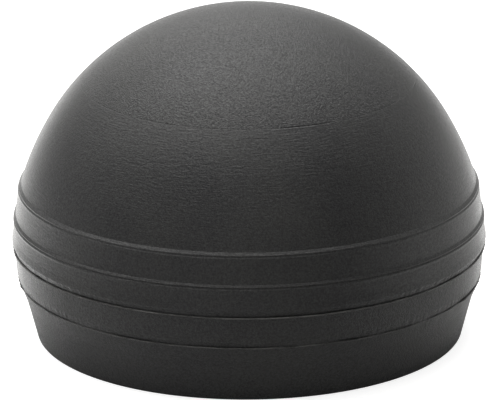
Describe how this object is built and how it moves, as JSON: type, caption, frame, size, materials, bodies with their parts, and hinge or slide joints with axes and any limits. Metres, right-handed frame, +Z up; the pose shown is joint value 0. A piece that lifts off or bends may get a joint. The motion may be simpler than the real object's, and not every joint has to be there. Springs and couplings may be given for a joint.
{
  "type": "case opening friction ball",
  "caption": "Soft black rubber dome with a stepped grip flank on a flat, firmer foot, pressed on a screwed watch case back and turned by hand to open or close it.",
  "frame": {"origin": "centre of the flat rest face under the foot", "axes": "+Z up along the ball's axis of symmetry, out through the crown; X and Y lie in the rest face"},
  "size_m": [0.07, 0.07, 0.0489],
  "materials": {
    "tacky_rubber": "fine sand-blasted grain, slightly tacky",
    "dome_rubber": "matt moulded rubber with fine turning lines from the mould",
    "firm_rubber": "matt moulded rubber with a thin flash line at its top edge",
    "hoop_steel": "plain rolled steel",
    "plate_plastic": "moulded plastic, fine texture",
    "core_foam": "open-cell rubber foam"
  },
  "bodies": {
    "root": {"friction_crown": "tacky_rubber", "dome_shell": "dome_rubber", "grip_band": "firm_rubber", "base_cup": "firm_rubber", "bead_hoop": "hoop_steel", "stiffener_plate": "plate_plastic", "cushion_core": "core_foam", "vent_plug": "firm_rubber"}
  },
  "joints": []
}
